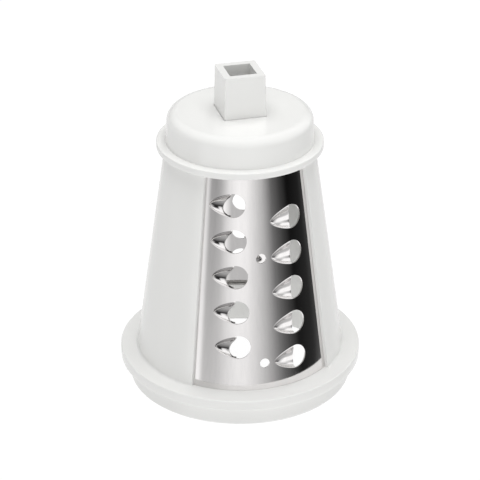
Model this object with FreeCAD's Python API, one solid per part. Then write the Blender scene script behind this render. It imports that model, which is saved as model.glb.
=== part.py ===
import FreeCAD, Part
import math
import os

# The grating drum of a rotary cheese grater. Millimetres, +Z up along the turning axis.
# The origin is the middle of the bottom face. The windows face -Y and +Y.

vector = FreeCAD.Vector

# Base ring, which the drum stands and runs on
journal_overhang = 2.8
base_height = 8.0
base_thick = 4.6
base_wall = 1.5
base_web = 2.2
base_edge_round = 0.8
base_rib_count = 12
base_rib_thick = 1.6
tongue_land = 1.0
tongue_thick = 1.2
tongue_height = 2.4
tongue_clearance = 0.1

# Cage: two flanges joined by two conical side walls
flange_overhang = 6.3
flange_thick = 4.1
cone_foot_radius = 38.7
cone_top_radius = 27.2
cone_height = 80.8
collar_overhang = 3.0
collar_thick = 2.6
flange_edge_round = 0.5
wall_foot_round = 0.9
window_half_angle = 42.0
window_skin = 1.25
frame_thick = 1.4
frame_overlap_angle = 4.0
frame_sill = 4.4
neck_height = 8.0
neck_inset = 4.4

# Grater plates: sheet metal, one in each window
sheet_thick = 0.5
sheet_gap = 0.15
plate_tuck_angle = 3.4
plate_tuck_height = 1.2
plate_seat_gap = 0.3

# Grating teeth: half cones raised out of the sheet, open to one side over a round hole
tooth_pitch = 13.25
tooth_margin_low = 10.0
tooth_margin_high = 10.5
tooth_column_offsets = (-9.7, 12.1)
tooth_hole_radius = 4.45
tooth_apex_distance = 8.6
tooth_apex_sink = 0.1
tooth_tip_radius = 0.3
tooth_rise_angle = 25.6
tooth_mouth_offset = 0.6
tooth_mouth_lean = 39.0
locating_hole_radius = 1.8
locating_hole_offset = -0.35
locating_hole_rows = (0, 3)

# Drive cap: domed cover with a plug that keys into the cage's neck
cap_ledge = 3.2
cap_draft = 0.6
cap_height = 10.9
cap_shoulder_round = 3.5
cap_wall = 2.2
plug_depth = 7.0
plug_wall = 2.0
plug_clearance = 0.3
key_count = 4
key_width = 5.6
key_depth = 1.0
key_clearance = 0.3
cap_rib_count = 8
cap_rib_thick = 1.4
cap_boss_wall = 2.0
cap_boss_depth = 6.2

# Drive socket: a square sleeve with a blind square hole
socket_height = 15.6
socket_foot_half = 7.7
socket_top_half = 7.4
socket_hole_half = 4.9
socket_hole_depth = 21.5
socket_edge_round = 0.5
socket_clearance = 0.12
socket_plate_radius = 12.0
socket_plate_thick = 2.2

# Heights and radii that follow from the sizes above
flange_top = base_height + flange_thick
collar_bottom = flange_top + cone_height
collar_top = collar_bottom + collar_thick
cap_top = collar_top + cap_height
cap_underside = cap_top - cap_wall
socket_top = cap_top + socket_height
boss_bottom = cap_underside - cap_boss_depth
socket_bottom = boss_bottom - socket_plate_thick
neck_bottom = collar_top - neck_height
flange_radius = cone_foot_radius + flange_overhang
journal_radius = cone_foot_radius + journal_overhang
collar_radius = cone_top_radius + collar_overhang
cap_foot_radius = collar_radius - cap_ledge
plug_radius = cone_top_radius - neck_inset - plug_clearance

# Depths below the cage's conical outside, measured level
groove_depth = sheet_thick + 2 * sheet_gap
plate_outer_inset = window_skin + sheet_gap
plate_inner_inset = plate_outer_inset + sheet_thick
frame_inset = window_skin + groove_depth
wall_inset = frame_inset + frame_thick

# Tools for cutting and joining run this far past the faces they pass through
overshoot = 1.0

taper = (cone_foot_radius - cone_top_radius) / cone_height
taper_angle = math.atan(taper)
reach = 2 * flange_radius
tooth_bottom_height = flange_top + tooth_margin_low
tooth_room = cone_height - tooth_margin_low - tooth_margin_high - tooth_pitch / 2
tooth_rows = 1 + int(tooth_room / tooth_pitch)


def cone_radius(z):
    return cone_foot_radius - taper * (z - flange_top)


def cylinder(radius, z_low, z_high):
    return Part.makeCylinder(radius, z_high - z_low, vector(0, 0, z_low))


def tube(inner, outer, z_low, z_high):
    return cylinder(outer, z_low, z_high).cut(cylinder(inner, z_low - overshoot, z_high + overshoot))


def cone_solid(inset, z_low, z_high):
    low = cone_radius(z_low) - inset
    high = cone_radius(z_high) - inset
    return Part.makeCone(low, high, z_high - z_low, vector(0, 0, z_low))


def cone_shell(outer_inset, inner_inset, z_low, z_high):
    outer = cone_solid(outer_inset, z_low, z_high)
    return outer.cut(cone_solid(inner_inset, z_low - overshoot, z_high + overshoot))


def side_point(angle, radius, z=0.0):
    # angle runs from -Y towards +X
    turn = math.radians(angle)
    return vector(radius * math.sin(turn), -radius * math.cos(turn), z)


def sector(middle, half_angle, z_low, z_high):
    far = reach / math.cos(math.radians(half_angle))
    corners = [vector(0, 0, z_low)]
    corners.append(side_point(middle - half_angle, far, z_low))
    corners.append(side_point(middle + half_angle, far, z_low))
    corners.append(corners[0])
    face = Part.Face(Part.makePolygon(corners))
    return face.extrude(vector(0, 0, z_high - z_low))


def block(half_x, half_y, z_low, z_high):
    return Part.makeBox(2 * half_x, 2 * half_y, z_high - z_low, vector(-half_x, -half_y, z_low))


def rib(angle, thick, radius_low, radius_high, z_low, z_high):
    length = radius_high - radius_low
    bar = Part.makeBox(thick, length, z_high - z_low, vector(-thick / 2, -radius_high, z_low))
    return bar.rotate(vector(0, 0, 0), vector(0, 0, 1), angle)


def spin_profile(corners):
    # corners are (radius, height) pairs, or three of them for an arc, in order round the section
    edges = []
    here = vector(corners[0][0], 0, corners[0][1])
    first = here
    for step in corners[1:]:
        if len(step) == 4:
            middle = vector(step[0], 0, step[1])
            there = vector(step[2], 0, step[3])
            edges.append(Part.Arc(here, middle, there).toShape())
        else:
            there = vector(step[0], 0, step[1])
            edges.append(Part.LineSegment(here, there).toShape())
        here = there
    edges.append(Part.LineSegment(here, first).toShape())
    face = Part.Face(Part.Wire(edges))
    return face.revolve(vector(0, 0, 0), vector(0, 0, 1), 360)


def arc_to(centre, radius, angle_from, angle_to):
    half = math.radians((angle_from + angle_to) / 2)
    end = math.radians(angle_to)
    middle_point = (centre[0] + radius * math.cos(half), centre[1] + radius * math.sin(half))
    end_point = (centre[0] + radius * math.cos(end), centre[1] + radius * math.sin(end))
    return middle_point + end_point


def rounded_flange(inner, outer, z_low, z_high, edge):
    corners = [(inner, z_low), (outer - edge, z_low)]
    corners.append(arc_to((outer - edge, z_low + edge), edge, -90, 0))
    corners.append((outer, z_high - edge))
    corners.append(arc_to((outer - edge, z_high - edge), edge, 0, 90))
    corners.append((inner, z_high))
    return spin_profile(corners)


def tongue_ring(clearance):
    # the base ring's tongue; the flange's groove is the same ring with clearance
    inner = cone_radius(base_height) - window_skin + tongue_land
    high = base_height + tongue_height + clearance
    return tube(inner - clearance, inner + tongue_thick + clearance, base_height - overshoot, high)


def base_ring():
    edge = base_edge_round
    bore = journal_radius - base_thick
    corners = [(bore, 0), (journal_radius - edge, 0)]
    corners.append(arc_to((journal_radius - edge, edge), edge, -90, 0))
    corners.append((journal_radius, base_height))
    corners.append((bore, base_height))
    ring = spin_profile(corners)
    channel_low = bore + base_wall
    channel_high = journal_radius - base_wall
    channel = tube(channel_low, channel_high, -overshoot, base_height - base_web)
    for index in range(base_rib_count):
        angle = 360 / base_rib_count * (index + 0.5)
        across = (channel_low - overshoot, channel_high + overshoot)
        bar = rib(angle, base_rib_thick, *across, -overshoot, base_height)
        channel = channel.cut(bar)
    return ring.cut(channel).fuse(tongue_ring(0)).removeSplitter()


def key_bars(clearance):
    # the keys stand on the plug; the neck's slots are the same bars with clearance
    bars = []
    high = plug_radius + key_depth + clearance
    for index in range(key_count):
        angle = 360 / key_count * index
        width = key_width + 2 * clearance
        low = collar_top - plug_depth - clearance
        bars.append(rib(angle, width, plug_radius - plug_wall / 2, high, low, collar_top + clearance))
    return bars


def wall_foot_fillet():
    corners = [(cone_radius(flange_top) - overshoot, flange_top)]
    corners.append((cone_foot_radius + wall_foot_round, flange_top))
    high = flange_top + wall_foot_round
    centre = (cone_foot_radius + wall_foot_round, high)
    corners.append(arc_to(centre, wall_foot_round, -90, -180))
    corners.append((cone_radius(high) - overshoot, high))
    return spin_profile(corners)


def cage():
    body = cone_shell(0, wall_inset, base_height, collar_top)
    body = body.fuse(wall_foot_fillet())
    inner = cone_radius(flange_top) - window_skin
    edge = flange_edge_round
    body = body.fuse(rounded_flange(inner, flange_radius, base_height, flange_top, edge))
    collar_inner = plug_radius + plug_clearance
    body = body.fuse(rounded_flange(collar_inner, collar_radius, collar_bottom, collar_top, edge))
    neck = cone_solid(frame_inset + frame_thick / 2, neck_bottom, collar_top)
    body = body.fuse(neck.cut(cylinder(collar_inner, neck_bottom - overshoot, collar_top + overshoot)))
    body = body.cut(tongue_ring(tongue_clearance))
    frame_core = cone_solid(frame_inset, base_height - overshoot, collar_top + overshoot)
    groove_top = collar_bottom + plate_tuck_height + sheet_gap
    groove = cone_shell(window_skin, frame_inset, base_height - overshoot, groove_top)
    tuck = window_half_angle + plate_tuck_angle + math.degrees(sheet_gap / cone_top_radius)
    for middle in (0, 180):
        opening = sector(middle, window_half_angle, flange_top, collar_bottom)
        body = body.cut(opening.cut(frame_core))
        body = body.cut(groove.common(sector(middle, tuck, base_height - overshoot, collar_top)))
        frame_half = window_half_angle - frame_overlap_angle
        body = body.cut(sector(middle, frame_half, flange_top + frame_sill, neck_bottom))
    for slot in key_bars(key_clearance):
        body = body.cut(slot)
    return body.removeSplitter()


def tooth_tools(column_offset, height):
    # a tooth's own directions: along the girth, up the slope and out of the sheet
    surface_radius = cone_radius(height) - plate_outer_inset
    hole_angle = math.degrees(column_offset / surface_radius)
    apex_angle = hole_angle - math.degrees(tooth_apex_distance / surface_radius)
    centre = side_point(hole_angle, surface_radius, height)
    apex = side_point(apex_angle, surface_radius, height)
    along = (centre - apex).normalize()
    up_slope = side_point(hole_angle, -math.sin(taper_angle), math.cos(taper_angle))
    out = along.cross(up_slope).normalize()
    up = out.cross(along).normalize()
    place = FreeCAD.Matrix(along.x, up.x, out.x, centre.x, along.y, up.y, out.y, centre.y,
                           along.z, up.z, out.z, centre.z, 0, 0, 0, 1)

    foot_half = math.asin(tooth_hole_radius / tooth_apex_distance)
    rise = math.radians(tooth_rise_angle)
    dip = math.atan((math.cos(rise) - math.cos(foot_half)) / math.sin(rise))
    half_angle = rise + dip
    axis = vector(math.cos(dip), 0, -math.sin(dip))
    start = vector(-tooth_apex_distance, 0, -tooth_apex_sink)
    length = 1.5 * tooth_apex_distance
    wide = length * math.tan(half_angle)
    blunt = tooth_tip_radius / math.tan(half_angle)
    inner_start = start + axis * (sheet_thick / math.sin(half_angle))
    outer_cone = Part.makeCone(tooth_tip_radius, wide, length - blunt, start + axis * blunt, axis)
    inner_cone = Part.makeCone(tooth_tip_radius, wide, length - blunt, inner_start + axis * blunt, axis)

    root = sheet_thick / 4
    tall = tooth_hole_radius + overshoot
    side = 2 * tooth_hole_radius
    back = -2 * tooth_apex_distance
    lean = math.tan(math.radians(tooth_mouth_lean))
    corners = [vector(back, -side, -root), vector(-tooth_mouth_offset + root * lean, -side, -root)]
    corners.append(vector(-tooth_mouth_offset - tall * lean, -side, tall))
    corners.append(vector(back, -side, tall))
    corners.append(corners[0])
    kept = Part.Face(Part.makePolygon(corners)).extrude(vector(0, 2 * side, 0))
    raised = outer_cone.common(kept)

    hole = Part.makeCylinder(tooth_hole_radius, 2 * tall, vector(0, 0, -tall), vector(0, 0, 1))
    front = Part.makeBox(side, 2 * side, 2 * tall, vector(-tooth_mouth_offset, -side, -tall))
    hollow = Part.makeBox(-back, 2 * side, 2 * tall, vector(back - tooth_mouth_offset / 2, -side, -tall))
    hole = hole.common(front)
    hollow = inner_cone.common(hollow)
    tools = (raised, hole, hollow)
    for tool in tools:
        tool.Placement = FreeCAD.Placement(place)
    return tools


def row_height(row, column):
    # the first column stands half a pitch higher than the second
    lift = tooth_pitch / 2 if column == 0 else 0
    return tooth_bottom_height + row * tooth_pitch + lift


def grater_plate():
    low = base_height + plate_seat_gap
    high = collar_bottom + plate_tuck_height
    sheet = cone_shell(plate_outer_inset, plate_inner_inset, low, high)
    sheet = sheet.common(sector(0, window_half_angle + plate_tuck_angle, low - overshoot, high + overshoot))
    for column, offset in enumerate(tooth_column_offsets):
        for row in range(tooth_rows):
            raised, hole, hollow = tooth_tools(offset, row_height(row, column))
            sheet = sheet.fuse(raised).cut(hollow).cut(hole)
    for row in locating_hole_rows:
        height = row_height(row, 1)
        centre = side_point(0, cone_radius(height) - plate_outer_inset, height)
        centre.x += locating_hole_offset
        out = side_point(0, math.cos(taper_angle), math.sin(taper_angle))
        drill = Part.makeCylinder(locating_hole_radius, 2 * overshoot, centre - out * overshoot, out)
        sheet = sheet.cut(drill)
    return sheet


def drive_cap():
    foot = cap_foot_radius
    top_side = foot - cap_draft
    bend = cap_shoulder_round
    corners = [(foot - cap_wall, collar_top), (foot, collar_top), (top_side, cap_top - bend)]
    corners.append(arc_to((top_side - bend, cap_top - bend), bend, 0, 90))
    corners.append((0, cap_top))
    corners.append((0, cap_underside))
    inner_bend = bend - cap_wall
    inner_side = top_side - cap_wall
    corners.append((inner_side - inner_bend, cap_underside))
    corners.append(arc_to((inner_side - inner_bend, cap_top - bend), inner_bend, 90, 0))
    cap = spin_profile(corners)
    plug_low = collar_top - plug_depth
    overlap = cap_wall / 2
    cap = cap.fuse(tube(plug_radius - plug_wall, plug_radius, plug_low, cap_underside + overlap))
    for key in key_bars(0):
        cap = cap.fuse(key)
    passage = socket_foot_half + socket_clearance
    boss_half = passage + cap_boss_wall
    cap = cap.fuse(block(boss_half, boss_half, boss_bottom, cap_underside + overlap))
    for index in range(cap_rib_count):
        angle = 360 / cap_rib_count * (index + 0.5)
        outer = plug_radius - plug_wall / 2
        inner = boss_half - overshoot
        cap = cap.fuse(rib(angle, cap_rib_thick, inner, outer, boss_bottom, cap_underside + overlap))
    cap = cap.cut(block(passage, passage, boss_bottom - overshoot, cap_top + overshoot))
    return cap.removeSplitter()


def square_section(half, z):
    # a square with rounded corners, as a wire
    straight = half - socket_edge_round
    turn = vector(0, 0, 1)
    corner_middle = straight + socket_edge_round * math.sqrt(0.5)
    edges = []
    for index in range(4):
        start = vector(half, -straight, z)
        side_end = vector(half, straight, z)
        bend = vector(corner_middle, corner_middle, z)
        bend_end = vector(straight, half, z)
        side = Part.LineSegment(start, side_end).toShape()
        corner = Part.Arc(side_end, bend, bend_end).toShape()
        for edge in (side, corner):
            edge.rotate(vector(0, 0, 0), turn, 90 * index)
            edges.append(edge)
    return Part.Wire(edges)


def drive_socket():
    foot = square_section(socket_foot_half, cap_top)
    sleeve = Part.makeLoft([foot, square_section(socket_top_half, socket_top)], True, True)
    shank_end = Part.Face(square_section(socket_foot_half, boss_bottom))
    shank = shank_end.extrude(vector(0, 0, cap_top - boss_bottom))
    sleeve = sleeve.fuse(shank)
    sleeve = sleeve.fuse(cylinder(socket_plate_radius, socket_bottom, boss_bottom))
    hole = block(socket_hole_half, socket_hole_half, socket_top - socket_hole_depth, socket_top + overshoot)
    return sleeve.cut(hole)


def export(name, shape):
    solids = shape.Solids
    result = solids[0] if len(solids) == 1 else Part.makeCompound(solids)
    result.exportStep(os.path.join("parts", name + ".step"))
    box = result.BoundBox
    print(name, "solids", len(solids), "valid", result.isValid(), "volume", round(result.Volume, 1),
          "z", round(box.ZMin, 2), round(box.ZMax, 2))


os.makedirs("parts", exist_ok=True)
export("base_ring", base_ring())
export("cage", cage())
plate = grater_plate()
export("front_grater_plate", plate)
back_plate = plate.copy()
back_plate.rotate(vector(0, 0, 0), vector(0, 0, 1), 180)
export("back_grater_plate", back_plate)
export("drive_cap", drive_cap())
export("drive_socket", drive_socket())
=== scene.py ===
import math

import bmesh
import bpy
from mathutils import Matrix, Vector


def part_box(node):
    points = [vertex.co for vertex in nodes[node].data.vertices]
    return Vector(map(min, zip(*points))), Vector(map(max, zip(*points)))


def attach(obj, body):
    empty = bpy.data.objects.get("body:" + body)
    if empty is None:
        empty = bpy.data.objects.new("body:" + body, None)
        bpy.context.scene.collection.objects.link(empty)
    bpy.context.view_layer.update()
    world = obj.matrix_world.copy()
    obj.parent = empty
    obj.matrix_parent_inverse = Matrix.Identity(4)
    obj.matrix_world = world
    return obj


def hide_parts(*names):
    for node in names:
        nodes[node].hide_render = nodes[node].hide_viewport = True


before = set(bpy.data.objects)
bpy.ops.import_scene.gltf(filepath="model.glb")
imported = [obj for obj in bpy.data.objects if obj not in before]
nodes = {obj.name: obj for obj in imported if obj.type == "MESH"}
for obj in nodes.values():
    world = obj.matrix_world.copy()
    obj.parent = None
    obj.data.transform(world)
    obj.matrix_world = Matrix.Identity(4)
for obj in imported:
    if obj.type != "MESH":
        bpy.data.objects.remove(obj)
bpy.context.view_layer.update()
scene = bpy.context.scene
print("frame loaded:", len(nodes), "nodes")


# the drum's cone, in metres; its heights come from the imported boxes
drum = {
    "collarThick": 0.0026,
    "flangeThick": 0.0041,
    "footRadius": 0.0387,
    "topRadius": 0.0272,
    "sheetInset": 0.0013,       # steel's outside below the cage's outside, measured level
}
cageLow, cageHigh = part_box("cage")
flangeTop = cageLow.z + drum["flangeThick"]
collarBottom = cageHigh.z - drum["collarThick"]
coneTaper = (drum["footRadius"] - drum["topRadius"]) / (collarBottom - flangeTop)
coneTilt = math.atan(coneTaper)
sheetApex = flangeTop + (drum["footRadius"] - drum["sheetInset"]) / coneTaper


def newPiece(name, bm, body, material):
    mesh = bpy.data.meshes.new(name)
    bm.to_mesh(mesh)
    bm.free()
    piece = bpy.data.objects.new(name, mesh)
    scene.collection.objects.link(piece)
    mesh.materials.append(material)
    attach(piece, body)
    return piece


def smoothFaces(bm):
    for face in bm.faces:
        face.smooth = True


def coneRadius(height):
    return drum["footRadius"] - coneTaper * (height - flangeTop)


def coneNormal(around):
    # straight out of the cone, for an angle from -Y towards +X
    level = math.cos(coneTilt)
    return Vector((math.sin(around) * level, -math.cos(around) * level, math.sin(coneTilt)))


def wrapOnCone(flat):
    # flat x, y lie on the unrolled cone about its apex, flat z stands out of the sheet
    slant = math.hypot(flat.x, flat.y)
    around = math.atan2(flat.x, -flat.y) / math.sin(coneTilt)
    radius = slant * math.sin(coneTilt)
    onSheet = Vector((radius * math.sin(around), -radius * math.cos(around),
                      sheetApex - slant * math.cos(coneTilt)))
    return onSheet + coneNormal(around) * flat.z


def flatPlace(around, height):
    # the unrolled cone's point for an angle from -Y towards +X and a height
    slant = (sheetApex - height) / math.cos(coneTilt)
    turn = around * math.sin(coneTilt)
    return Matrix.Rotation(turn, 4, "Z") @ Matrix.Translation((0, -slant, 0))


plastic = {
    "index": 1.5,
    "specular": 0.45,
    "shade": 0.97,              # the darkest that the slow drift of tint makes it
    "driftScale": 38.0,
    "grainScale": 1500.0,
    "grainGloss": 0.06,
    "waveScale": 160.0,
    "rippleDepth": 0.0004,
    "cageTint": (0.85, 0.85, 0.835, 1),
    "cageGloss": 0.17,
    "cageRipple": 0.03,
    "capTint": (0.86, 0.86, 0.845, 1),
    "capGloss": 0.12,
    "capRipple": 0.02,
}
steel = {
    "darkTint": (0.755, 0.74, 0.738, 1),
    "paleTint": (0.845, 0.825, 0.82, 1),
    "streakScale": (900, 900, 25),
    "hazeScale": 45.0,
    "leastRough": 0.05,
    "mostRough": 0.11,
}


# where a Mix node keeps its colour sockets
mixSockets = {"first": 6, "second": 7, "result": 2}


def addNode(tree, kind, **values):
    node = tree.nodes.new(kind)
    for name, value in values.items():
        if name in node.inputs:
            node.inputs[name].default_value = value
        else:
            setattr(node, name, value)
    return node


def newGroup(name, inputs, outputs):
    group = bpy.data.node_groups.new(name, "ShaderNodeTree")
    for label, kind, value in inputs:
        socket = group.interface.new_socket(label, in_out="INPUT", socket_type=kind)
        socket.default_value = value
    for label, kind in outputs:
        group.interface.new_socket(label, in_out="OUTPUT", socket_type=kind)
    return group, group.nodes.new("NodeGroupInput"), group.nodes.new("NodeGroupOutput")


def makeMouldedSkin():
    # slow tint drift, faint ripple of the mould and fine grain, for glossy moulded plastic
    inputs = [("Colour", "NodeSocketColor", plastic["cageTint"]),
              ("Shade", "NodeSocketFloat", plastic["shade"]),
              ("Gloss", "NodeSocketFloat", plastic["cageGloss"]),
              ("Ripple", "NodeSocketFloat", plastic["cageRipple"])]
    outputs = [("Colour", "NodeSocketColor"), ("Roughness", "NodeSocketFloat"),
               ("Normal", "NodeSocketVector")]
    group, start, end = newGroup("mouldedSkin", inputs, outputs)
    where = addNode(group, "ShaderNodeTexCoord")
    drift = addNode(group, "ShaderNodeTexNoise", Scale=plastic["driftScale"], Detail=3.0, Roughness=0.5)
    grain = addNode(group, "ShaderNodeTexNoise", Scale=plastic["grainScale"], Detail=2.0, Roughness=0.5)
    wave = addNode(group, "ShaderNodeTexNoise", Scale=plastic["waveScale"], Detail=1.0, Roughness=0.4)
    for noise in (drift, grain, wave):
        group.links.new(where.outputs["Object"], noise.inputs["Vector"])
    shadeRange = addNode(group, "ShaderNodeMapRange")
    shadeRange.inputs["To Max"].default_value = 1.0
    group.links.new(drift.outputs["Fac"], shadeRange.inputs["Value"])
    group.links.new(start.outputs["Shade"], shadeRange.inputs["To Min"])
    darker = addNode(group, "ShaderNodeMix", data_type="RGBA", blend_type="MULTIPLY")
    darker.inputs["Factor"].default_value = 1.0
    group.links.new(start.outputs["Colour"], darker.inputs[mixSockets["first"]])
    group.links.new(shadeRange.outputs["Result"], darker.inputs[mixSockets["second"]])
    group.links.new(darker.outputs[mixSockets["result"]], end.inputs["Colour"])
    rough = addNode(group, "ShaderNodeMath", operation="MULTIPLY_ADD")
    rough.inputs[1].default_value = plastic["grainGloss"]
    group.links.new(grain.outputs["Fac"], rough.inputs[0])
    group.links.new(start.outputs["Gloss"], rough.inputs[2])
    group.links.new(rough.outputs[0], end.inputs["Roughness"])
    bump = addNode(group, "ShaderNodeBump", Distance=plastic["rippleDepth"])
    group.links.new(start.outputs["Ripple"], bump.inputs["Strength"])
    group.links.new(wave.outputs["Fac"], bump.inputs["Height"])
    group.links.new(bump.outputs["Normal"], end.inputs["Normal"])
    return group


def makePlastic(name, skin, tint, gloss, ripple):
    material = bpy.data.materials.new(name)
    material.use_nodes = True
    tree = material.node_tree
    shader = tree.nodes["Principled BSDF"]
    shader.inputs["IOR"].default_value = plastic["index"]
    shader.inputs["Specular IOR Level"].default_value = plastic["specular"]
    group = addNode(tree, "ShaderNodeGroup")
    group.node_tree = skin
    group.inputs["Colour"].default_value = tint
    group.inputs["Gloss"].default_value = gloss
    group.inputs["Ripple"].default_value = ripple
    tree.links.new(group.outputs["Colour"], shader.inputs["Base Color"])
    tree.links.new(group.outputs["Roughness"], shader.inputs["Roughness"])
    tree.links.new(group.outputs["Normal"], shader.inputs["Normal"])
    return material


def makeSteel():
    # bright rolled sheet: faint streaks along the slope, and a little haze
    material = bpy.data.materials.new("mirrorSteel")
    material.use_nodes = True
    tree = material.node_tree
    shader = tree.nodes["Principled BSDF"]
    shader.inputs["Metallic"].default_value = 1.0
    where = addNode(tree, "ShaderNodeTexCoord")
    stretch = addNode(tree, "ShaderNodeMapping")
    stretch.inputs["Scale"].default_value = steel["streakScale"]
    streaks = addNode(tree, "ShaderNodeTexNoise", Scale=1.0, Detail=3.0, Roughness=0.6)
    tree.links.new(where.outputs["Object"], stretch.inputs["Vector"])
    tree.links.new(stretch.outputs["Vector"], streaks.inputs["Vector"])
    haze = addNode(tree, "ShaderNodeTexNoise", Scale=steel["hazeScale"], Detail=4.0, Roughness=0.6)
    tree.links.new(where.outputs["Object"], haze.inputs["Vector"])
    tint = addNode(tree, "ShaderNodeValToRGB")
    tint.color_ramp.elements[0].color = steel["darkTint"]
    tint.color_ramp.elements[1].color = steel["paleTint"]
    tree.links.new(streaks.outputs["Fac"], tint.inputs["Fac"])
    tree.links.new(tint.outputs["Color"], shader.inputs["Base Color"])
    rough = addNode(tree, "ShaderNodeMapRange")
    rough.inputs["To Min"].default_value = steel["leastRough"]
    rough.inputs["To Max"].default_value = steel["mostRough"]
    tree.links.new(haze.outputs["Fac"], rough.inputs["Value"])
    tree.links.new(rough.outputs["Result"], shader.inputs["Roughness"])
    return material


mouldedSkin = makeMouldedSkin()
whitePlastic = makePlastic("whitePlastic", mouldedSkin, plastic["cageTint"], plastic["cageGloss"],
                           plastic["cageRipple"])
capPlastic = makePlastic("capPlastic", mouldedSkin, plastic["capTint"], plastic["capGloss"],
                         plastic["capRipple"])
mirrorSteel = makeSteel()
print("materials made")


plate = {
    "thick": 0.0005,
    "rimRound": 0.00009,
    "rimSegments": 2,
    "rimAngle": math.radians(50),   # edges bent more than this are rounded
    "sharpAngle": math.radians(42),
    "band": 0.0002,             # a narrow ring of faces round each opening keeps the plain sheet true
    "halfAngle": math.radians(45.4),
    "sliceAngle": math.radians(3.0),
    "locatingRadius": 0.0018,
    "locatingSegments": 28,
    "locatingOffset": -0.00035,
    "locatingRows": (0, 3),
    "firstRow": 0.010,          # above the flange's top
    "pitch": 0.01325,
    "rows": 5,
    "columns": (-0.0097, 0.0121),
    "weld": 2e-6,
    "flatness": 1e-6,
    "cutTolerance": 1e-7,
    "plainLean": math.radians(2),   # faces this close to the cone's direction are plain sheet
    "bentLean": math.radians(45),   # up to this they are teeth, and past it rims
}
slices = round(2 * plate["halfAngle"] / plate["sliceAngle"])
tooth = {
    "holeRadius": 0.00445,
    "reach": 0.0086,            # from the hole's middle to the tip
    "shoulder": 1.4,            # how long the drop keeps its width
    "tipPower": 0.62,           # how round its tip is
    "crest": 0.79,              # height over half-width
    "mouthOffset": 0.0006,
    "mouthLean": math.radians(39),
    "mouthRounds": 24,
    "fillet": 0.12,             # share of the tooth's radius
    "sink": 0.17,               # how far the arch's middle lies under the sheet
    "along": 20,
    "across": 30,
    "holeSteps": 34,
}


def toothHalfWidth(x):
    # a drop: the hole's own circle, closing in long curves to a small round tip
    big = tooth["holeRadius"]
    if x > 0:
        return math.sqrt(max(big ** 2 - x ** 2, 0))
    share = min(-x / tooth["reach"], 1)
    return big * (1 - share ** tooth["shoulder"]) ** tooth["tipPower"]


def toothSection(share):
    # a point of the tooth's cross section: half an arch, then a fillet to the sheet
    sink = tooth["sink"]
    fillet = tooth["fillet"]
    turn = math.acos((fillet + sink) / (1 + fillet))
    filletMiddle = math.sqrt((1 + fillet) ** 2 - (fillet + sink) ** 2)
    run = abs(share) * turn * (1 + 2 * fillet)
    if run <= turn:
        sideways = math.sin(run)
        high = math.cos(run) - sink
    else:
        left = turn - (run - turn) / (2 * fillet)
        sideways = filletMiddle - fillet * math.sin(left)
        high = fillet - fillet * math.cos(left)
    return math.copysign(sideways / filletMiddle, share), high / (1 - sink)


def toothPoint(share, along):
    # along runs from the tip at 0 to the mouth at 1; x along the girth, y up the slope, z outwards
    sideways, high = toothSection(share)
    lean = math.tan(tooth["mouthLean"])
    mouth = -tooth["mouthOffset"]
    for step in range(tooth["mouthRounds"]):    # the mouth leans back, so its place hangs on its height
        height = tooth["crest"] * toothHalfWidth(mouth) * high
        mouth += (-tooth["mouthOffset"] - height * lean - mouth) / 2
    x = -tooth["reach"] + (mouth + tooth["reach"]) * (1 - math.cos(along * math.pi / 2))
    width = toothHalfWidth(x)
    return Vector((x, width * sideways, tooth["crest"] * width * high))


def addTooth(bm, place):
    made = bmesh.ops.create_grid(bm, x_segments=tooth["across"], y_segments=tooth["along"], size=1)
    for vert in made["verts"]:
        vert.co = place @ toothPoint(vert.co.x, (vert.co.y + 1) / 2)


def addHole(bm, place):
    # the open half of a tooth's hole, from one corner of the mouth round to the other
    corner = place @ toothPoint(1, 1)
    start = place.inverted() @ corner
    first = bm.verts.new(corner)
    sweep = -2 * math.atan2(start.y, start.x)
    bmesh.ops.spin(bm, geom=[first], cent=place @ Vector((0, 0, 0)), axis=(0, 0, 1), angle=sweep,
                   steps=tooth["holeSteps"])


def drawOutline(bm):
    # the unrolled plate is a sector of a ring about the cone's apex
    low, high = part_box("front_grater_plate")
    sweep = 2 * plate["halfAngle"] * math.sin(coneTilt)
    ends = []
    for height in (low.z, high.z):
        start = bm.verts.new(flatPlace(-plate["halfAngle"], height) @ Vector((0, 0, 0)))
        made = bmesh.ops.spin(bm, geom=[start], cent=(0, 0, 0), axis=(0, 0, 1), angle=sweep,
                              steps=slices)
        ends.append((start, made["geom_last"][0]))
    for lower, upper in zip(*ends):
        bm.edges.new((lower, upper))


def drawOpenings(bm):
    locatingPlaces = []
    for column, offset in enumerate(plate["columns"]):
        for row in range(plate["rows"]):
            lift = plate["pitch"] / 2 if column == 0 else 0
            height = flangeTop + plate["firstRow"] + row * plate["pitch"] + lift
            radius = (sheetApex - height) * coneTaper
            place = flatPlace(offset / radius, height)
            addTooth(bm, place)
            addHole(bm, place)
            if column == 1 and row in plate["locatingRows"]:
                locatingPlaces.append(flatPlace(plate["locatingOffset"] / radius, height))
    for place in locatingPlaces:
        bmesh.ops.create_circle(bm, segments=plate["locatingSegments"], radius=plate["locatingRadius"],
                                matrix=place)


def fillSheet(bm, layer):
    # fills the plain sheet between the openings, and marks it in the layer
    rings = []
    for edge in bm.edges:
        level = all(abs(vert.co.z) < plate["flatness"] for vert in edge.verts)
        if level and len(edge.link_faces) < 2:
            rings.append(edge)
    filled = bmesh.ops.triangle_fill(bm, use_beauty=True, use_dissolve=False, edges=rings, normal=(0, 0, 1))
    sheet = [item for item in filled["geom"] if isinstance(item, bmesh.types.BMFace)]
    for face in sheet:
        face[layer] = 1
    band = bmesh.ops.inset_region(bm, faces=sheet, thickness=plate["band"], use_even_offset=True,
                                  use_boundary=True)
    for face in band["faces"]:
        face[layer] = 1


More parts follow.
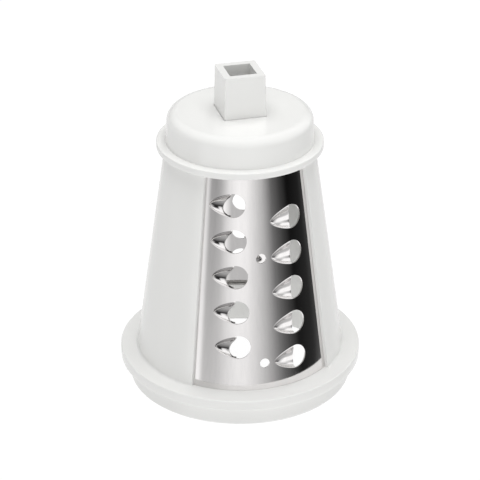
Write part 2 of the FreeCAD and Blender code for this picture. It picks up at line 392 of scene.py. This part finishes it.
def sliceSheet(bm, layer):
    # cuts the plain sheet along the slope, so that it bends evenly round the cone
    for index in range(1, slices):
        around = (-plate["halfAngle"] + index * plate["sliceAngle"]) * math.sin(coneTilt)
        geom = set()
        for face in bm.faces:
            if face[layer] == 1:
                geom.add(face)
                geom.update(face.edges)
                geom.update(face.verts)
        bmesh.ops.bisect_plane(bm, geom=list(geom), dist=plate["cutTolerance"], plane_co=(0, 0, 0),
                               plane_no=(math.cos(around), math.sin(around), 0))


def smoothSheet(mesh):
    # the plain sheet shades as a true cone, so long thin faces don't show in its reflections
    plain = math.cos(plate["plainLean"])
    skin = math.cos(plate["bentLean"])
    sides = {}
    bent = set()
    for face in mesh.polygons:
        lean = face.normal.dot(coneNormal(math.atan2(face.center.x, -face.center.y)))
        if abs(lean) > plain:
            sides[face.index] = math.copysign(1, lean)
        elif abs(lean) > skin:
            bent.update(face.vertices)
    normals = [Vector((0, 0, 0))] * len(mesh.loops)
    for index, side in sides.items():
        for loop in mesh.polygons[index].loop_indices:
            vertex = mesh.loops[loop].vertex_index
            if vertex not in bent:
                point = mesh.vertices[vertex].co
                normals[loop] = coneNormal(math.atan2(point.x, -point.y)) * side
    mesh.normals_split_custom_set(normals)


def buildPlate(name, cadNode, turn):
    bm = bmesh.new()
    layer = bm.faces.layers.int.new("flatSheet")
    drawOutline(bm)
    drawOpenings(bm)
    bmesh.ops.remove_doubles(bm, verts=bm.verts[:], dist=plate["weld"])
    fillSheet(bm, layer)
    sliceSheet(bm, layer)
    bmesh.ops.recalc_face_normals(bm, faces=bm.faces[:])
    if sum(face.normal.z * face.calc_area() for face in bm.faces) < 0:
        bmesh.ops.reverse_faces(bm, faces=bm.faces[:])
    bmesh.ops.solidify(bm, geom=bm.faces[:], thickness=plate["thick"])
    for vert in bm.verts:
        vert.co = wrapOnCone(vert.co)
    rims = [edge for edge in bm.edges if edge.is_manifold and edge.calc_face_angle() > plate["rimAngle"]]
    bmesh.ops.bevel(bm, geom=rims, offset=plate["rimRound"], offset_type="OFFSET",
                    segments=plate["rimSegments"], profile=0.5, affect="EDGES", material=-1,
                    clamp_overlap=True)
    smoothFaces(bm)
    piece = newPiece(name, bm, "drum", mirrorSteel)
    piece.data.set_sharp_from_angle(angle=plate["sharpAngle"])
    smoothSheet(piece.data)
    piece.data.transform(Matrix.Rotation(turn, 4, "Z"))
    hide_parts(cadNode)


buildPlate("frontGraterPlate", "front_grater_plate", 0)
buildPlate("backGraterPlate", "back_grater_plate", math.pi)
print("grater plates made")


cage = {
    "flangeRadius": 0.045,
    "collarRadius": 0.0302,
    "edgeRound": 0.0005,
    "edgeSteps": 6,
    "footRound": 0.0009,
    "windowAngle": 42.0,        # degrees from a window's middle to its edge
    "tuckAngle": 45.72,         # and to the end of its plate's grooves
    "frameAngle": 38.0,         # and to its inner frame
    "skin": 0.00125,
    "grooveDepth": 0.0008,
    "frameThick": 0.0014,
    "sillHeight": 0.0044,
    "joinOverlap": 0.00005,
    "neckOverlap": 0.0002,
    "wallLetIn": 0.001,         # how far a wall's outer layer starts and ends inside the flange and collar
    "neckBore": 0.0228,
    "neckBottom": 0.0875,
    "keySlots": 4,
    "slotRadius": 0.0238,
    "slotHalfWidth": 0.0031,
    "slotBottom": 0.0882,
    "grooveTop": 0.09425,
    "tongueGroove": (0.03893, 0.04033, 0.0105),     # inner and outer radius, and the height of its end
    "windowEdgeRound": 0.00015,
    "windowEdgeSegments": 3,
    "longEdge": 0.05,           # only a window's sides are this long
    "cornerAngle": math.radians(60),
    "sharpAngle": math.radians(30),
    "roundSteps": 144,
    "stepAngle": 2.5,
}
frameInset = cage["skin"] + cage["grooveDepth"]


def addArc(corners, centre, radius, start, end):
    # angles in degrees, in the (radius, height) plane
    for step in range(cage["edgeSteps"] + 1):
        turn = math.radians(start + (end - start) * step / cage["edgeSteps"])
        corners.append((centre[0] + radius * math.cos(turn), centre[1] + radius * math.sin(turn)))


def addShell(bm, corners, start=None, end=None):
    # spins a closed (radius, height) outline all round, or between two angles in degrees with closed ends
    whole = start is None
    around = math.radians(0 if whole else start)
    verts = [bm.verts.new((r * math.sin(around), -r * math.cos(around), z)) for r, z in corners]
    edges = [bm.edges.new((verts[index - 1], verts[index])) for index in range(len(verts))]
    if whole:
        bmesh.ops.spin(bm, geom=verts + edges, cent=(0, 0, 0), axis=(0, 0, 1), angle=2 * math.pi,
                       steps=cage["roundSteps"], use_merge=True)
        return
    made = bmesh.ops.spin(bm, geom=verts + edges, cent=(0, 0, 0), axis=(0, 0, 1),
                          angle=math.radians(end - start), steps=round((end - start) / cage["stepAngle"]))
    lastEdges = [item for item in made["geom_last"] if isinstance(item, bmesh.types.BMEdge)]
    bmesh.ops.contextual_create(bm, geom=edges)
    bmesh.ops.contextual_create(bm, geom=lastEdges)


def coneBand(inset, thick, low, high):
    # the outline of a conical layer under the cage's outside
    return [(coneRadius(low) - inset, low), (coneRadius(high) - inset, high),
            (coneRadius(high) - inset - thick, high), (coneRadius(low) - inset - thick, low)]


def flangeOutline():
    edge = cage["edgeRound"]
    outer = cage["flangeRadius"] - edge
    grooveIn, grooveOut, grooveEnd = cage["tongueGroove"]
    bottom = cageLow.z
    corners = [(coneRadius(bottom) - cage["skin"], bottom), (grooveIn, bottom), (grooveIn, grooveEnd),
               (grooveOut, grooveEnd), (grooveOut, bottom)]
    addArc(corners, (outer, bottom + edge), edge, -90, 0)
    addArc(corners, (outer, flangeTop - edge), edge, 0, 90)
    corners.append((coneRadius(flangeTop) - cage["skin"], flangeTop))
    return corners


def collarOutline():
    # the collar and the neck below it, with the plates' groove between them
    edge = cage["edgeRound"]
    outer = cage["collarRadius"] - edge
    corners = [(cage["neckBore"], cage["neckBottom"]), (cage["neckBore"], cage["slotBottom"]),
               (cage["slotRadius"], cage["slotBottom"]), (cage["slotRadius"], cageHigh.z)]
    addArc(corners, (outer, cageHigh.z - edge), edge, 90, 0)
    addArc(corners, (outer, collarBottom + edge), edge, 0, -90)
    for height, inset in ((collarBottom, cage["skin"]), (cage["grooveTop"], cage["skin"]),
                          (cage["grooveTop"], frameInset), (cage["neckBottom"], frameInset)):
        corners.append((coneRadius(height) - inset, height))
    return corners


def skinOutline():
    # a side wall's outer layer, with the round at its foot
    low = cageLow.z + cage["wallLetIn"]
    high = cageHigh.z - cage["wallLetIn"]
    footRound = cage["footRound"]
    footTop = flangeTop + footRound
    corners = [(coneRadius(low) - cage["skin"], low), (coneRadius(high) - cage["skin"], high),
               (coneRadius(high), high)]
    addArc(corners, (coneRadius(footTop) + footRound, footTop), footRound, 180, 270)
    corners.append((coneRadius(footTop) + footRound, low))
    return corners


def addKeyWalls(bm):
    # the neck's inner layer stands between the slots for the cap's keys
    overlap = cage["joinOverlap"]
    inner, outer = cage["neckBore"], cage["slotRadius"] + overlap
    low, high = cage["slotBottom"] - overlap, cageHigh.z - overlap
    outline = [(inner, low), (outer, low), (outer, high), (inner, high)]
    slotTurn = math.degrees(math.asin(cage["slotHalfWidth"] / cage["slotRadius"]))
    between = 360 / cage["keySlots"]
    for slot in range(cage["keySlots"]):
        addShell(bm, outline, between * slot + slotTurn, between * slot + between - slotTurn)


def addSideWalls(bm):
    # each wall is three layers, so that the middle one leaves the grooves that hold the plates
    overlap = cage["joinOverlap"]
    bottom = cageLow.z
    core = coneBand(cage["skin"] - overlap, cage["grooveDepth"] + 2 * overlap, bottom + overlap,
                    cage["grooveTop"])
    inner = coneBand(frameInset, cage["frameThick"], bottom, cage["neckBottom"] + cage["neckOverlap"])
    sill = coneBand(frameInset, cage["frameThick"], bottom, flangeTop + cage["sillHeight"])
    for wallMiddle in (90, 270):
        for outline, edgeAngle in ((skinOutline(), cage["windowAngle"]), (core, cage["tuckAngle"]),
                                   (inner, cage["frameAngle"])):
            half = 90 - edgeAngle
            addShell(bm, outline, wallMiddle - half, wallMiddle + half)
        windowMiddle = wallMiddle + 90
        addShell(bm, sill, windowMiddle - cage["frameAngle"], windowMiddle + cage["frameAngle"])


def onWindowCorner(edge):
    heights = [vert.co.z for vert in edge.verts]
    outside = all(abs(vert.co.xy.length - coneRadius(vert.co.z)) < cage["joinOverlap"] for vert in edge.verts)
    long = max(heights) - min(heights) > cage["longEdge"]
    return outside and long and edge.calc_face_angle() > cage["cornerAngle"]


def buildCage():
    bm = bmesh.new()
    addShell(bm, flangeOutline())
    addShell(bm, collarOutline())
    addKeyWalls(bm)
    addSideWalls(bm)
    bmesh.ops.recalc_face_normals(bm, faces=bm.faces[:])
    corners = [edge for edge in bm.edges if onWindowCorner(edge)]
    bmesh.ops.bevel(bm, geom=corners, offset=cage["windowEdgeRound"], offset_type="OFFSET",
                    segments=cage["windowEdgeSegments"], profile=0.5, affect="EDGES", material=-1,
                    clamp_overlap=True)
    smoothFaces(bm)
    piece = newPiece("cageMoulding", bm, "drum", whitePlastic)
    piece.data.set_sharp_from_angle(angle=cage["sharpAngle"])
    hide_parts("cage")


buildCage()
print("cage made")


carriedOver = {"base_ring": whitePlastic, "drive_cap": capPlastic, "drive_socket": capPlastic}
for nodeName, material in carriedOver.items():
    nodes[nodeName].data.materials.clear()
    nodes[nodeName].data.materials.append(material)
print("ring, cap and socket carried over")


studio = {
    "floorHalf": 6.0,
    "floorCells": 8,
    "floorGrey": (0.06, 0.06, 0.06, 1),
    "floorGlow": 0.95,
    "floorRoughness": 0.6,
    "azimuth": math.radians(-15),
    "pitch": math.radians(27.315),
    "distance": 0.743,
    "aimHeight": 0.0542,
    "lens": 150.85,
    "sensor": 36.0,
    "clipStart": 0.01,
    "fillStrength": 0.41,
    "mirrorStrength": 1.2,
    # degrees from -Y towards +X, and how bright the studio stands there in a mirror
    "cards": [(-180, 0.7), (-110, 0.5), (-92, 0.02), (-78, 0.02), (-73, 0.7), (-63, 0.7), (-58, 0.34),
              (-50, 0.31), (-42, 0.43), (-30, 0.8), (-18, 0.95), (-6, 0.91), (6, 0.69), (18, 0.45),
              (31, 0.12), (45, 0.035), (56, 0.002), (84, 0.001), (100, 0.02), (125, 0.6), (180, 0.7)],
    "lowCards": [(-180, 0.8), (-110, 0.5), (-92, 0.02), (-78, 0.02), (-73, 0.95), (-62, 0.95),
                 (-57, 0.56), (-40, 0.61), (-20, 0.8), (-8, 0.79), (8, 0.59), (17, 0.44), (27, 0.27),
                 (37, 0.13), (47, 0.06), (58, 0.01), (80, 0.02), (100, 0.08), (125, 0.6), (180, 0.8)],
    "ground": [(-180, 1), (-45, 1), (-28, 0.5), (-2, 0.5), (9, 1), (180, 1)],
    "rightSide": [(-180, 0), (-50, 0), (-20, 1), (120, 1), (150, 0), (180, 0)],
    # the same in degrees above the horizon
    "overLeft": [(-90, 0.02), (5, 0.02), (15, 0.07), (30, 0.2), (50, 0.36), (90, 0.5)],
    "overRight": [(-90, 1), (45, 1), (62, 0.5), (90, 0.5)],
    "aboveHorizon": [(-90, 0), (-4, 0), (5, 1), (90, 1)],
    "lowerCards": [(-90, 1), (-17, 1), (-10, 0), (90, 0)],
    "belowCards": [(-90, 1), (-40, 1), (-20, 0), (90, 0)],
    # size, watts, distance, degrees from -Y towards +X and degrees above the horizon
    "softBoxes": {"overheadBox": (1.4, 20.5, 1.55, 0, 90), "frontBox": (0.6, 2.9, 1.2, -6, 4)},
}


def makeFloor():
    bm = bmesh.new()
    bmesh.ops.create_grid(bm, x_segments=studio["floorCells"], y_segments=studio["floorCells"],
                          size=studio["floorHalf"])
    mesh = bpy.data.meshes.new("studioFloor")
    bm.to_mesh(mesh)
    bm.free()
    floor = bpy.data.objects.new("studioFloor", mesh)
    scene.collection.objects.link(floor)
    paleFloor = bpy.data.materials.new("paleFloor")
    paleFloor.use_nodes = True
    shader = paleFloor.node_tree.nodes["Principled BSDF"]
    shader.inputs["Roughness"].default_value = studio["floorRoughness"]
    shader.inputs["Base Color"].default_value = studio["floorGrey"]
    shader.inputs["Emission Color"].default_value = (1, 1, 1, 1)
    shader.inputs["Emission Strength"].default_value = studio["floorGlow"]
    mesh.materials.append(paleFloor)
    floor.visible_glossy = False


def blendRamp(tree, value, stops, lowest, highest):
    # a grey level for each value, straight between the stops
    share = addNode(tree, "ShaderNodeMapRange")
    share.inputs["From Min"].default_value = lowest
    share.inputs["From Max"].default_value = highest
    tree.links.new(value, share.inputs["Value"])
    ramp = tree.nodes.new("ShaderNodeValToRGB")
    ramp.color_ramp.interpolation = "LINEAR"
    elements = ramp.color_ramp.elements
    while len(elements) > 1:
        elements.remove(elements[-1])
    for index, (degrees, level) in enumerate(stops):
        place = (math.radians(degrees) - lowest) / (highest - lowest)
        element = elements[0] if index == 0 else elements.new(place)
        element.position = place
        element.color = (level, level, level, 1)
    tree.links.new(share.outputs["Result"], ramp.inputs["Fac"])
    return ramp.outputs["Color"]


def mixLevels(tree, share, low, high):
    mix = addNode(tree, "ShaderNodeMix", data_type="RGBA")
    tree.links.new(share, mix.inputs["Factor"])
    tree.links.new(low, mix.inputs[mixSockets["first"]])
    tree.links.new(high, mix.inputs[mixSockets["second"]])
    return mix.outputs[mixSockets["result"]]


def mirroredStudio(tree):
    # pale boxes and dark cards round the drum, by the direction that a mirror looks in
    where = tree.nodes.new("ShaderNodeTexCoord")
    parts = tree.nodes.new("ShaderNodeSeparateXYZ")
    tree.links.new(where.outputs["Generated"], parts.inputs[0])
    flip = addNode(tree, "ShaderNodeMath", operation="MULTIPLY")
    flip.inputs[1].default_value = -1.0
    tree.links.new(parts.outputs["Y"], flip.inputs[0])
    around = addNode(tree, "ShaderNodeMath", operation="ARCTAN2")
    tree.links.new(parts.outputs["X"], around.inputs[0])
    tree.links.new(flip.outputs[0], around.inputs[1])
    rise = addNode(tree, "ShaderNodeMath", operation="ARCSINE")
    tree.links.new(parts.outputs["Z"], rise.inputs[0])

    def byAround(name):
        return blendRamp(tree, around.outputs[0], studio[name], -math.pi, math.pi)

    def byRise(name):
        return blendRamp(tree, rise.outputs[0], studio[name], -math.pi / 2, math.pi / 2)

    level = mixLevels(tree, byRise("lowerCards"), byAround("cards"), byAround("lowCards"))
    over = mixLevels(tree, byAround("rightSide"), byRise("overLeft"), byRise("overRight"))
    seen = mixLevels(tree, byRise("aboveHorizon"), level, over)
    return mixLevels(tree, byRise("belowCards"), seen, byAround("ground"))


def mixShaders(tree, share, first, second):
    mix = tree.nodes.new("ShaderNodeMixShader")
    tree.links.new(share, mix.inputs["Fac"])
    tree.links.new(first.outputs[0], mix.inputs[1])
    tree.links.new(second.outputs[0], mix.inputs[2])
    return mix


def makeWorld():
    # soft even light, the studio in mirrors, and plain white behind the drum
    world = bpy.data.worlds.new("softStudio")
    scene.world = world
    world.use_nodes = True
    tree = world.node_tree
    tree.nodes.clear()
    out = tree.nodes.new("ShaderNodeOutputWorld")
    mirror = addNode(tree, "ShaderNodeBackground", Strength=studio["mirrorStrength"])
    tree.links.new(mirroredStudio(tree), mirror.inputs["Color"])
    fill = addNode(tree, "ShaderNodeBackground", Strength=studio["fillStrength"], Color=(1, 1, 1, 1))
    backdrop = addNode(tree, "ShaderNodeBackground", Strength=1.0, Color=(1, 1, 1, 1))
    ray = tree.nodes.new("ShaderNodeLightPath")
    lit = mixShaders(tree, ray.outputs["Is Glossy Ray"], fill, mirror)
    seen = mixShaders(tree, ray.outputs["Is Camera Ray"], lit, backdrop)
    tree.links.new(seen.outputs[0], out.inputs["Surface"])


def addSoftBox(name, size, power, distance, azimuth, elevation):
    # a square softbox aimed at the drum's middle; the world's cards stand for it in mirrors
    light = bpy.data.lights.new(name, "AREA")
    light.shape = "SQUARE"
    light.size = size
    light.energy = power
    holder = bpy.data.objects.new(name, light)
    scene.collection.objects.link(holder)
    level = distance * math.cos(elevation)
    holder.location = (level * math.sin(azimuth), -level * math.cos(azimuth),
                       studio["aimHeight"] + distance * math.sin(elevation))
    holder.rotation_euler = (math.pi / 2 - elevation, 0, azimuth)
    holder.visible_glossy = False
    holder.visible_camera = False


def makeCamera():
    camera = bpy.data.cameras.new("productCamera")
    camera.lens = studio["lens"]
    camera.sensor_width = studio["sensor"]
    camera.clip_start = studio["clipStart"]
    holder = bpy.data.objects.new("productCamera", camera)
    scene.collection.objects.link(holder)
    back = studio["distance"] * math.cos(studio["pitch"])
    holder.location = (back * math.sin(studio["azimuth"]), -back * math.cos(studio["azimuth"]),
                       studio["aimHeight"] + studio["distance"] * math.sin(studio["pitch"]))
    holder.rotation_euler = (math.pi / 2 - studio["pitch"], 0, studio["azimuth"])
    scene.camera = holder


makeFloor()
makeWorld()
for boxName, (size, power, distance, azimuth, elevation) in studio["softBoxes"].items():
    addSoftBox(boxName, size, power, distance, math.radians(azimuth), math.radians(elevation))
makeCamera()
scene.view_settings.view_transform = "Standard"
print("studio made")
